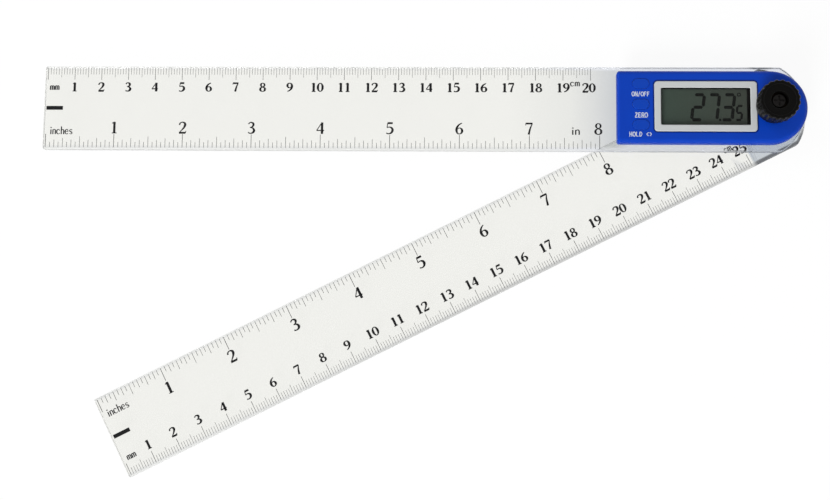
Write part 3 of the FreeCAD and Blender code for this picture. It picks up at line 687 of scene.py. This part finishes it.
# %% Figures and letters
HEAVY, HAIR = 0.135, 0.05
BOWL = [(0.07, 0.45, 0.12), (0.07, 0.18, 0.12), (0.2, 0.03, 0.08), (0.36, 0.06, 0.07),
        (0.42, 0.15, 0.05)]
FIGURES = {
    "1": [
        [(0.27, 0.0, HEAVY), (0.27, 0.97, HEAVY)],
        [(0.27, 0.96, 0.07), (0.12, 0.84, 0.04)],
        [(0.12, 0.025, HAIR), (0.42, 0.025, HAIR)],
    ],
    "2": [
        [(0.06, 0.72, 0.09), (0.1, 0.88, 0.07), (0.24, 0.96, 0.06), (0.38, 0.88, 0.11),
         (0.41, 0.72, HEAVY), (0.34, 0.5, 0.1), (0.18, 0.25, 0.06), (0.05, 0.06, 0.05)],
        [(0.04, 0.055, 0.11), (0.44, 0.055, 0.11)],
        [(0.43, 0.04, 0.06), (0.48, 0.22, 0.04)],
    ],
    "3": [
        [(0.07, 0.82, 0.07), (0.2, 0.96, 0.06), (0.36, 0.88, 0.11), (0.38, 0.73, 0.12),
         (0.3, 0.58, 0.07), (0.17, 0.53, HAIR)],
        [(0.17, 0.53, HAIR), (0.34, 0.48, 0.08), (0.43, 0.28, HEAVY), (0.36, 0.1, 0.11),
         (0.2, 0.03, 0.06), (0.06, 0.1, 0.08)],
    ],
    "4": [
        [(0.35, 0.96, HAIR), (0.03, 0.3, HAIR)],
        [(0.02, 0.29, 0.06), (0.49, 0.29, 0.06)],
        [(0.36, 0.97, HEAVY), (0.36, 0.0, HEAVY)],
    ],
    "5": [
        [(0.12, 0.93, 0.11), (0.44, 0.93, 0.11)],
        [(0.13, 0.94, HAIR), (0.09, 0.54, HAIR)],
        [(0.09, 0.54, HAIR), (0.24, 0.6, 0.06), (0.39, 0.5, 0.11), (0.43, 0.3, HEAVY),
         (0.34, 0.1, 0.1), (0.18, 0.03, 0.06), (0.05, 0.09, 0.08)],
    ],
    "6": [
        [(0.42, 0.95, HAIR), (0.24, 0.82, 0.08), (0.11, 0.58, 0.12), (0.08, 0.35, HEAVY),
         (0.13, 0.11, 0.09), (0.26, 0.03, HAIR), (0.38, 0.11, 0.09), (0.43, 0.29, HEAVY),
         (0.37, 0.48, 0.09), (0.26, 0.54, HAIR), (0.13, 0.44, HAIR)],
    ],
    "7": [
        [(0.04, 0.93, 0.1), (0.46, 0.93, 0.1)],
        [(0.05, 0.95, 0.05), (0.03, 0.76, 0.03)],
        [(0.44, 0.92, HAIR), (0.31, 0.5, 0.09), (0.22, 0.0, 0.12)],
    ],
    "c": [[(0.4, 0.45, 0.1), (0.33, 0.57, 0.08), (0.2, 0.6, 0.08), *BOWL]],
    "e": [[(0.08, 0.33, 0.06), (0.42, 0.33, 0.06)],
          [(0.42, 0.33, 0.1), (0.36, 0.56, 0.08), (0.22, 0.6, 0.08), *BOWL]],
    "h": [[(0.1, 0.0, 0.12), (0.1, 0.97, 0.12)],
          [(0.1, 0.42, 0.05), (0.22, 0.58, 0.08), (0.36, 0.56, 0.1), (0.4, 0.4, 0.12),
           (0.4, 0.0, 0.12)]],
    "i": [[(0.15, 0.0, 0.12), (0.15, 0.6, 0.12)], [(0.15, 0.76, 0.13), (0.15, 0.9, 0.13)]],
    "m": [[(0.08, 0.0, 0.12), (0.08, 0.6, 0.12)],
          [(0.08, 0.45, 0.05), (0.17, 0.59, 0.08), (0.28, 0.56, 0.1), (0.31, 0.4, 0.12),
           (0.31, 0.0, 0.12)],
          [(0.31, 0.45, 0.05), (0.4, 0.59, 0.08), (0.51, 0.56, 0.1), (0.54, 0.4, 0.12),
           (0.54, 0.0, 0.12)]],
    "n": [[(0.1, 0.0, 0.12), (0.1, 0.6, 0.12)],
          [(0.1, 0.42, 0.05), (0.22, 0.59, 0.08), (0.36, 0.56, 0.1), (0.4, 0.4, 0.12),
           (0.4, 0.0, 0.12)]],
    "s": [[(0.4, 0.5, 0.07), (0.26, 0.6, 0.07), (0.1, 0.5, 0.09), (0.14, 0.36, 0.11),
           (0.32, 0.27, 0.12), (0.4, 0.14, 0.1), (0.26, 0.02, 0.07), (0.08, 0.1, 0.08)]],
}
ADVANCE = {"i": 0.3, "m": 0.64}
figure_paths = {
    letter: [smooth_path(knots, 2 if len(knots) == 2 else 22) for knots in strokes]
    for letter, strokes in FIGURES.items()
}
figure_paths["0"] = [ring_path(0.25, 0.49, 0.18, 0.45, HEAVY, HAIR)]
figure_paths["8"] = [
    ring_path(0.25, 0.74, 0.14, 0.2, 0.11, HAIR),
    ring_path(0.25, 0.26, 0.18, 0.23, 0.13, HAIR),
]
half_turn = np.array([-1.0, -1.0, 1.0])
figure_paths["9"] = [path * half_turn + (0.5, 0.98, 0) for path in figure_paths["6"]]
print("figures:", "".join(sorted(figure_paths)))


def write(text, x, y, tall, place, face, paths=figure_paths, step=0.52, broad=1.0, bold=1.0):
    """Ribbons for a text centred on (x, y): paths times height, broader or bolder on request."""
    steps = [ADVANCE.get(letter, step) * broad for letter in text]
    pen = x - tall * sum(steps) / 2
    made = []
    for letter, move in zip(text, steps):
        for layer, path in enumerate(paths.get(letter, [])):
            scaled = path * (tall * broad, tall, tall * broad * bold) + (pen, y - tall / 2, 0)
            bottom = face + INK_GAP + INK_LAYER * layer
            points, faces = ribbon(scaled, bottom, bottom + INK_THICKNESS)
            made.append((place(points), faces))
        pen += tall * move
    return made


# %% [markdown]
# ## Graduations
#
# A scale is a row of thin bars, each a little box of ink. All the boxes of a scale come out of
# one array sum: eight corner signs times half sizes, plus each bar's centre. The millimetre
# scale has three lengths of bar, and the inch scale five, from a sixteenth to a whole inch.

# %% Scales
CORNER_SIGNS = np.array(
    [(x, y, z) for z in (-1, 1) for x, y in ((-1, -1), (1, -1), (1, 1), (-1, 1))]
)
BOX_FACES = np.array(
    [(0, 3, 2, 1), (4, 5, 6, 7), (0, 1, 5, 4), (1, 2, 6, 5), (2, 3, 7, 6), (3, 0, 4, 7)]
)
EDGE_MARGIN = 0.55
LONG_BAR_EXTRA = 0.05
INCH_BAR, INCH_BAR_WHOLE = 0.15, 0.2


def bars(centres, sizes):
    """Boxes: corner k of bar i is centre i + sign k * size i / 2."""
    corners = centres[:, None, :] + CORNER_SIGNS[None] * sizes[:, None, :] / 2
    faces = BOX_FACES[None] + 8 * np.arange(len(centres))[:, None, None]
    return corners.reshape(-1, 3), faces.reshape(-1, 4)


def scale_bars(along, lengths, widths, edge, face):
    """Bars that start near one edge of the arm and reach inwards; edge is +1 or -1."""
    across = edge * (HALF_WIDTH - EDGE_MARGIN - lengths / 2)
    height = np.full(len(along), face + INK_GAP + INK_THICKNESS / 2)
    centres = np.stack([along, across, height], 1)
    sizes = np.stack([widths, lengths, np.full(len(along), INK_THICKNESS)], 1)
    return bars(centres, sizes)


def millimetre_scale(centimetres, edge, face, line):
    """Bars every millimetre: 2.5 mm long, 3.6 at each fifth and 4.5 at each tenth."""
    step = np.arange(centimetres * 10 + 1)
    lengths = np.where(step % 10 == 0, 4.5, np.where(step % 5 == 0, 3.6, 2.5))
    widths = np.where(step % 10 == 0, line + LONG_BAR_EXTRA, line)
    return scale_bars(ZERO_MARK + step, lengths, widths, edge, face)


def inch_scale(inches, edge, face):
    """Bars every sixteenth: a bar's length follows how often 2 divides its number."""
    step = np.arange(inches * 16 + 1)
    lengths = np.full(len(step), 2.0)
    for divisor, length in ((2, 2.8), (4, 3.4), (8, 4.1), (16, 5.0)):
        lengths[step % divisor == 0] = length
    widths = np.where(step % 16 == 0, INCH_BAR_WHOLE, INCH_BAR)
    return scale_bars(ZERO_MARK + step * INCH / 16, lengths, widths, edge, face)


# %% [markdown]
# The ink is a soft black: screen printed ink is never quite even, and on a clear ruler light
# comes through it a little. Figures stand over their own bars, apart from the last ones of each
# row, which the maker moved aside to fit the unit marks in. A type is three numbers: how tall
# its figures are in millimetres, and how much broader and bolder than in the table.

# %% Print the arms
ruler_ink = grained_plastic(
    "ruler_ink", (0.010, 0.010, 0.011), (0.022, 0.022, 0.023), 0.55, 0.05, 0.002,
    Specular_IOR_Level=0.15,
)
CM_TYPE = (3.4, 1.42, 1.35)
UPPER_INCH_TYPE = (4.4, 1.35, 1.1)
LOWER_INCH_TYPE = (4.4, 1.35, 1.2)
UPPER_LINE, LOWER_LINE = 0.11, 0.12
CENTRE_BAR = 1.45


def texts(rows, place, face):
    """Ribbons for rows of (text, x, y, (tall, broad, bold))."""
    made = []
    for text, x, y, (tall, broad, bold) in rows:
        made += write(text, x, y, tall, place, face, broad=broad, bold=bold)
    return made


def row_of_figures(count, pitch, y, style, moved):
    """Rows for the figures 1 to count, one pitch apart from the zero mark, some moved along."""
    places = {number: ZERO_MARK + number * pitch for number in range(1, count + 1)} | moved
    return [(str(number), x, y, style) for number, x in places.items()]


def centre_bar(x0, x1, y, face):
    """The heavy bar at the tip, which marks the arm's centre line."""
    centre = np.array([[(x0 + x1) / 2, y, face + INK_GAP + INK_THICKNESS / 2]])
    return bars(centre, np.array([[x1 - x0, CENTRE_BAR, INK_THICKNESS]]))


def print_arm(name, place, face, scales, rows, bar):
    """Two pieces of ink on an arm: the bars of its scales, and its figures with the centre bar."""
    points, faces = gather(scales)
    add_piece(
        name + "_scale_bars", place(points), faces, name + "_arm", ruler_ink, "clear_plastic"
    )
    points, faces = centre_bar(*bar, face)
    figures = gather(texts(rows, place, face) + [(place(points), faces)])
    add_piece(name + "_figures", *figures, name + "_arm", ruler_ink, "clear_plastic")


upper_scales = [millimetre_scale(20, 1, UPPER_FACE, UPPER_LINE), inch_scale(8, -1, UPPER_FACE)]
upper_rows = (
    row_of_figures(20, 10, 7.77, CM_TYPE, {20: -65.4})
    + row_of_figures(8, INCH, -7.48, UPPER_INCH_TYPE, {8: -62.0})
    + [
        ("mm", -262.2, 7.9, (2.6, 1.1, 1.4)),
        ("inches", -259.0, -8.6, (3.0, 1.0, 1.2)),
        ("cm", -70.4, 9.6, (2.6, 1.2, 1.2)),
        ("in", -70.2, -8.2, (3.0, 1.4, 1.0)),
    ]
)
lower_scales = [millimetre_scale(25, -1, LOWER_FACE, LOWER_LINE), inch_scale(8, 1, LOWER_FACE)]
lower_rows = (
    row_of_figures(25, 10, -7.76, CM_TYPE, {24: -25.6, 25: -16.3})
    + row_of_figures(8, INCH, 7.34, LOWER_INCH_TYPE, {})
    + [
        ("inches", -259.2, 8.9, (3.0, 1.0, 1.2)),
        ("mm", -261.9, -8.4, (2.6, 1.1, 1.3)),
        ("cm", -20.0, -5.4, (2.6, 1.0, 1.2)),
    ]
)
print_arm("upper", on_upper_arm, UPPER_FACE, upper_scales, upper_rows, (-265.0, -258.8, -0.2))
print_arm("lower", on_lower_arm, LOWER_FACE, lower_scales, lower_rows, (-264.9, -258.5, 0.12))

# %% [markdown]
# ## Marks under the keys
#
# The keys' marks are plain white capitals of even weight, so their paths are straight strokes
# and one oval. They are printed on the housing, each just below its key.

# %% Key marks
PEN = 0.17


def straight(*knots):
    """One straight stroke of even width from each knot to the next."""
    return [np.array([(*start, PEN), (*end, PEN)]) for start, end in zip(knots, knots[1:])]


capital_paths = {
    "O": [ring_path(0.3, 0.5, 0.25, 0.43, PEN, PEN)],
    "N": straight((0.08, 0), (0.08, 1), (0.52, 0), (0.52, 1)),
    "F": straight((0.1, 0), (0.1, 0.92), (0.5, 0.92)) + straight((0.1, 0.5), (0.44, 0.5)),
    "/": straight((0.12, -0.05), (0.46, 1.05)),
    "Z": straight((0.06, 0.92), (0.5, 0.92), (0.08, 0.08), (0.54, 0.08)),
    "E": straight((0.5, 0.92), (0.1, 0.92), (0.1, 0.08), (0.52, 0.08))
    + straight((0.1, 0.5), (0.46, 0.5)),
    "R": straight(
        (0.1, 0), (0.1, 0.92), (0.4, 0.92), (0.5, 0.8), (0.5, 0.6), (0.4, 0.48), (0.1, 0.48)
    )
    + straight((0.3, 0.48), (0.52, 0)),
    "H": straight((0.1, 0), (0.1, 1))
    + straight((0.5, 0), (0.5, 1))
    + straight((0.1, 0.5), (0.5, 0.5)),
    "L": straight((0.1, 1), (0.1, 0.08), (0.5, 0.08)),
    "D": straight(
        (0.1, 0), (0.1, 0.92), (0.34, 0.92), (0.5, 0.7), (0.5, 0.3), (0.34, 0.08), (0.1, 0.08)
    ),
    "<": straight((0.5, 0.85), (0.12, 0.5), (0.5, 0.15)),
    ">": straight((0.1, 0.85), (0.48, 0.5), (0.1, 0.15)),
}
white_ink = grained_plastic(
    "white_ink", (0.72, 0.76, 0.86), (0.62, 0.67, 0.8), 0.45, 0.05, 0.002
)
key_marks = []
for text, x, y, tall, step in (
    ("ON/OFF", -47.2, 4.5, 1.75, 0.62),
    ("ZERO", -47.05, -3.25, 1.9, 0.62),
    ("HOLD <>", -47.25, -10.25, 1.8, 0.66),
):
    key_marks += write(text, x, y, tall, on_upper_arm, COVER_FACE, capital_paths, step)
add_piece("key_marks", *gather(key_marks), "upper_arm", white_ink, "grey_plastic")

# %% [markdown]
# ## The display's figures
#
# A display figure is seven bars. Each bar is the same ribbon again, with the pen's width running
# from nothing to full and back, which gives the pointed ends that real segments have. The whole
# figure leans to the right, so x gains a share of y.

# %% Display figures
LEAN = 0.12
SEGMENTS = {
    "top": ((0, 1), (1, 1)),
    "upper_left": ((0, 0.5), (0, 1)),
    "upper_right": ((1, 0.5), (1, 1)),
    "middle": ((0, 0.5), (1, 0.5)),
    "lower_left": ((0, 0), (0, 0.5)),
    "lower_right": ((1, 0), (1, 0.5)),
    "bottom": ((0, 0), (1, 0)),
}
LIT = {
    "2": ("top", "upper_right", "middle", "lower_left", "bottom"),
    "3": ("top", "upper_right", "middle", "lower_right", "bottom"),
    "5": ("top", "upper_left", "middle", "lower_right", "bottom"),
    "7": ("top", "upper_right", "lower_right"),
}
LARGE, SMALL = (3.6, 9.2, 1.15), (1.9, 5.1, 0.8)
BASE = -4.75
ALONG_BAR = np.array([[0.06], [0.15], [0.85], [0.94]])
POINTED = np.array([[0.25], [1], [1], [0.25]])


def on_panel(path):
    """A ribbon of ink on the display panel."""
    return ribbon(path, PANEL_FACE + INK_GAP, PANEL_FACE + INK_GAP + INK_THICKNESS)


def display_figure(figure, x, size):
    """Bars between the corners of a figure's box, each leaning by x = x + LEAN y."""
    wide, tall, pen = size
    made = []
    for name in LIT[figure]:
        start, end = (np.array(corner) * (wide, tall) for corner in SEGMENTS[name])
        line = start + (end - start) * ALONG_BAR
        line[:, 0] += x + LEAN * line[:, 1]
        line[:, 1] += BASE
        made.append(on_panel(np.hstack([line, pen * POINTED])))
    return made


segment_black = grained_plastic(
    "segment_black", (0.003, 0.004, 0.003), (0.005, 0.006, 0.005), 0.4, 0.1, 0.001,
    Specular_IOR_Level=0.05,
)
point = np.stack([np.linspace(-19.2, -18.5, 4), np.full(4, BASE), np.full(4, 0.8)], 1)
degree = ring_path(-12.0, 4.5, 0.55, 0.55, 0.35, 0.35)
READING = [("2", -29.0, LARGE), ("7", -23.6, LARGE), ("3", -18.2, LARGE), ("5", -13.2, SMALL)]
digits = []
for figure, x, size in READING:
    digits += display_figure(figure, x, size)
digits += [on_panel(point), on_panel(degree)]
add_piece("display_figures", *gather(digits), "upper_arm", segment_black, "panel_glass")

# %% [markdown]
# ## The lock knob
#
# The knob is turned from a profile and then fluted. The profile is a line of (radius, height)
# points with rounded corners, and the flutes are a wave in the angle that eats into the radius
# only where the rim is. A surface of this kind is one grid: angle one way, profile the other.
# The CAD knob has the same sizes, and stays in the physics while this one is seen.

# %% Turn the knob
FLUTES = 20
FLUTE_DEPTH = 0.42
RIM_LOW, RIM_HIGH, RIM_INSIDE = 15.6, 21.35, 6.2
LOWER_FADE, UPPER_FADE, INNER_FADE = 0.5, 0.3, 0.5
AROUND = 320


def rounded_profile(corners, count=5):
    """Profile with each inner corner replaced by a short quadratic curve of its own radius."""
    line = [np.array([corners[0][:2]])]
    for before, here, after in zip(corners, corners[1:], corners[2:]):
        point = np.array(here[:2], float)
        back = np.array(before[:2]) - point
        ahead = np.array(after[:2]) - point
        start = point + back / np.linalg.norm(back) * here[2]
        end = point + ahead / np.linalg.norm(ahead) * here[2]
        t = np.linspace(0, 1, count)[:, None]
        line.append(start * (1 - t) ** 2 + 2 * point * t * (1 - t) + end * t**2)
    line.append(np.array([corners[-1][:2]]))
    return np.vstack(line)


def turned(profile, around, eat):
    """Closed grid: x = r cos a, y = r sin a, where r = profile radius - eat(angle, height)."""
    angle = np.linspace(0, 2 * np.pi, around, endpoint=False)[:, None]
    radius = profile[None, :, 0] - eat(angle, profile[None, :, 1], profile[None, :, 0])
    height = np.broadcast_to(profile[None, :, 1], radius.shape)
    points = np.stack([radius * np.cos(angle), radius * np.sin(angle), height], -1)
    rows, columns = radius.shape
    row = np.arange(rows)[:, None] * columns
    next_row = (row + columns) % (rows * columns)
    column = np.arange(columns)[None]
    next_column = (column + 1) % columns
    corners = [(row, column), (next_row, column), (next_row, next_column), (row, next_column)]
    quads = np.stack([start + offset for start, offset in corners], -1)
    return points.reshape(-1, 3), quads.reshape(-1, 4)


def flutes(angle, height, radius):
    """Scallops on the rim, fading out at its lower and upper edge."""
    wave = (0.5 + 0.5 * np.cos(FLUTES * angle)) ** 1.5
    above = np.clip((height - RIM_LOW) / LOWER_FADE, 0, 1)
    below = np.clip((RIM_HIGH - height) / UPPER_FADE, 0, 1)
    outside = np.clip((radius - RIM_INSIDE) / INNER_FADE, 0, 1)
    return FLUTE_DEPTH * wave * above * below * outside


knob_profile = rounded_profile(
    [
        (3.31, 11.2, 0),
        (6.4, 11.2, 0.25),
        (6.4, 15.5, 0.2),
        (6.85, 15.5, 0.1),
        (7.3, 15.95, 0.2),
        (7.3, 20.8, 0.3),
        (6.8, 21.3, 0.2),
        (5.75, 21.3, 0.1),
        (5.6, 21.0, 0.1),
        (3.1, 21.0, 0.25),
        (3.1, 17.25, 0.02),
        (3.31, 17.2, 0.02),
        (3.31, 11.2, 0),
    ]
)
points, faces = turned(knob_profile[:-1], AROUND, flutes)
knob = add_piece("fluted_knob", points, faces, "lock_knob", black_moulding, "black_plastic", True)
knob.data.set_sharp_from_angle(angle=np.radians(40))
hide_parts("lock_knob")

# %% [markdown]
# ## Snap domes
#
# Under each key lies a thin sprung dome, which the key's stem pushes flat until it snaps. A rigid
# dome would stick into the stem. Here each is a copy of the imported dome with a mesh of its own,
# riding on the upper arm, and the imported one is hidden.

# %% Snap domes
for key in ("on_off", "zero", "hold"):
    packed = nodes[key + "_dome"]
    dome = add_object("snap_dome_" + key, packed.data.copy())
    low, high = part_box(key + "_dome")
    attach(dome, "upper_arm")
    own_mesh(dome)
    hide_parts(key + "_dome")

# %% [markdown]
# ## Table, light and background
#
# The photograph is a plain product shot: white table, white surroundings, light from all sides
# with more from the front and left. The table is a pale matt sheet that keeps a faint shadow.
# It has a light of its own that only the camera and the shiny or clear plastic see, by the Light
# Path node, so it turns white without any extra light on the tool. That light rises to full white
# far out, where the table meets the white surroundings and must not show a line.

# %% Table
OWN_LIGHT, OWN_LIGHT_FAR = 0.91, 1.0
RISE_START, RISE_END = 0.35, 1.6
TABLE_REACH = 6.0
TABLE_DROP = 0.0002

table_white, tree, shader = new_material("table_white", (0.11, 0.11, 0.11), 0.9)
shader.inputs["Specular IOR Level"].default_value = 0.0
raise_surface(tree, shader, noise(tree, 800), 0.01)
shader.inputs["Emission Color"].default_value = (1, 1, 1, 1)
outward = tree.nodes.new("ShaderNodeVectorMath")
outward.operation = "LENGTH"
tree.links.new(object_coordinates(tree, 1), outward.inputs["Vector"])
own_light = rescale(
    tree, outward.outputs["Value"], RISE_START, RISE_END, OWN_LIGHT, OWN_LIGHT_FAR, "SMOOTHSTEP"
)
looked_at = any_ray(tree, "Is Camera Ray", "Is Glossy Ray", "Is Transmission Ray")
lift = math(tree, "MULTIPLY", looked_at, own_light)
tree.links.new(lift, shader.inputs["Emission Strength"])

table_mesh = bpy.data.meshes.new("table")
corner = np.array([(-1, -1), (1, -1), (1, 1), (-1, 1)]) * TABLE_REACH
table_mesh.from_pydata([(x, y, -TABLE_DROP) for x, y in corner.tolist()], [], [(0, 1, 2, 3)])
table_mesh.materials.append(table_white)
table = add_object("table", table_mesh)
print("table", 2 * TABLE_REACH, "m wide")

# %% [markdown]
# Plastic mirrors a room that is white all round and dark overhead, where the camera hangs: that
# keeps the level faces deep in colour and gives the rounded edges their light lines.

# %% White surroundings
AMBIENT = 0.30
OVERHEAD = 0.12
OVERHEAD_START, OVERHEAD_FULL = 0.35, 0.85

world = bpy.data.worlds.new("white_surroundings")
world.use_nodes = True
bpy.context.scene.world = world
tree = world.node_tree
sky = tree.nodes["Background"]
sky.inputs["Color"].default_value = (1, 1, 1, 1)


def number_mix(tree, share, first, second):
    """first + share (second - first); each may be a number or a socket."""
    mix = tree.nodes.new("ShaderNodeMix")
    for name, value in (("Factor", share), ("A", first), ("B", second)):
        if isinstance(value, float):
            mix.inputs[name].default_value = value
        else:
            tree.links.new(value, mix.inputs[name])
    return mix.outputs["Result"]


direction = tree.nodes.new("ShaderNodeTexCoord")
upward = axes(tree, direction.outputs["Generated"])[2]
mirrored = rescale(tree, upward, OVERHEAD_START, OVERHEAD_FULL, 1.0, OVERHEAD)
through = any_ray(tree, "Is Glossy Ray", "Is Transmission Ray")
unseen = number_mix(tree, through, AMBIENT, mirrored)
seen = any_ray(tree, "Is Camera Ray")
tree.links.new(number_mix(tree, seen, unseen, 1.0), sky.inputs["Strength"])
print("surroundings: white to look at, ambient light", AMBIENT)

# %% [markdown]
# The photograph's light comes from the front and the left: the walls and rounded edges on those
# sides are lighter than the top, and the edges behind are darker. So the key lamp is a large one
# low in front. A weaker one stands at the left, and a small one low at the right gives the knob
# its glints.

# %% Lamps
def softbox(name, place, aim, size, watts, mirrored=False):
    """A square area lamp at a place, its -Z axis towards the aim. Shiny faces mirror it or not."""
    data = bpy.data.lights.new(name, "AREA")
    data.size = size
    data.energy = watts
    lamp = add_object(name, data)
    lamp.location = place
    way = np.array(aim) - np.array(place)
    yaw = np.arctan2(way[0], -way[1])
    pitch = np.arctan2(np.hypot(way[0], way[1]), -way[2])
    lamp.rotation_euler = Euler((pitch, 0, yaw + np.pi), "XYZ")
    lamp.visible_glossy = mirrored


softbox("key_softbox", (-1.1, -2.0, 1.35), (-0.08, 0, 0), 1.3, 56)
softbox("side_softbox", (-1.6, 0.8, 1.5), (-0.1, 0, 0), 1.2, 12)
softbox("glint_lamp", (1.1, 0.25, 0.45), (0, 0, 0.02), 0.1, 0.6, True)

# %% [markdown]
# ## Finish
#
# The view transform is Standard, which shows colours as written.

# %% Finish
bpy.context.scene.view_settings.view_transform = "Standard"
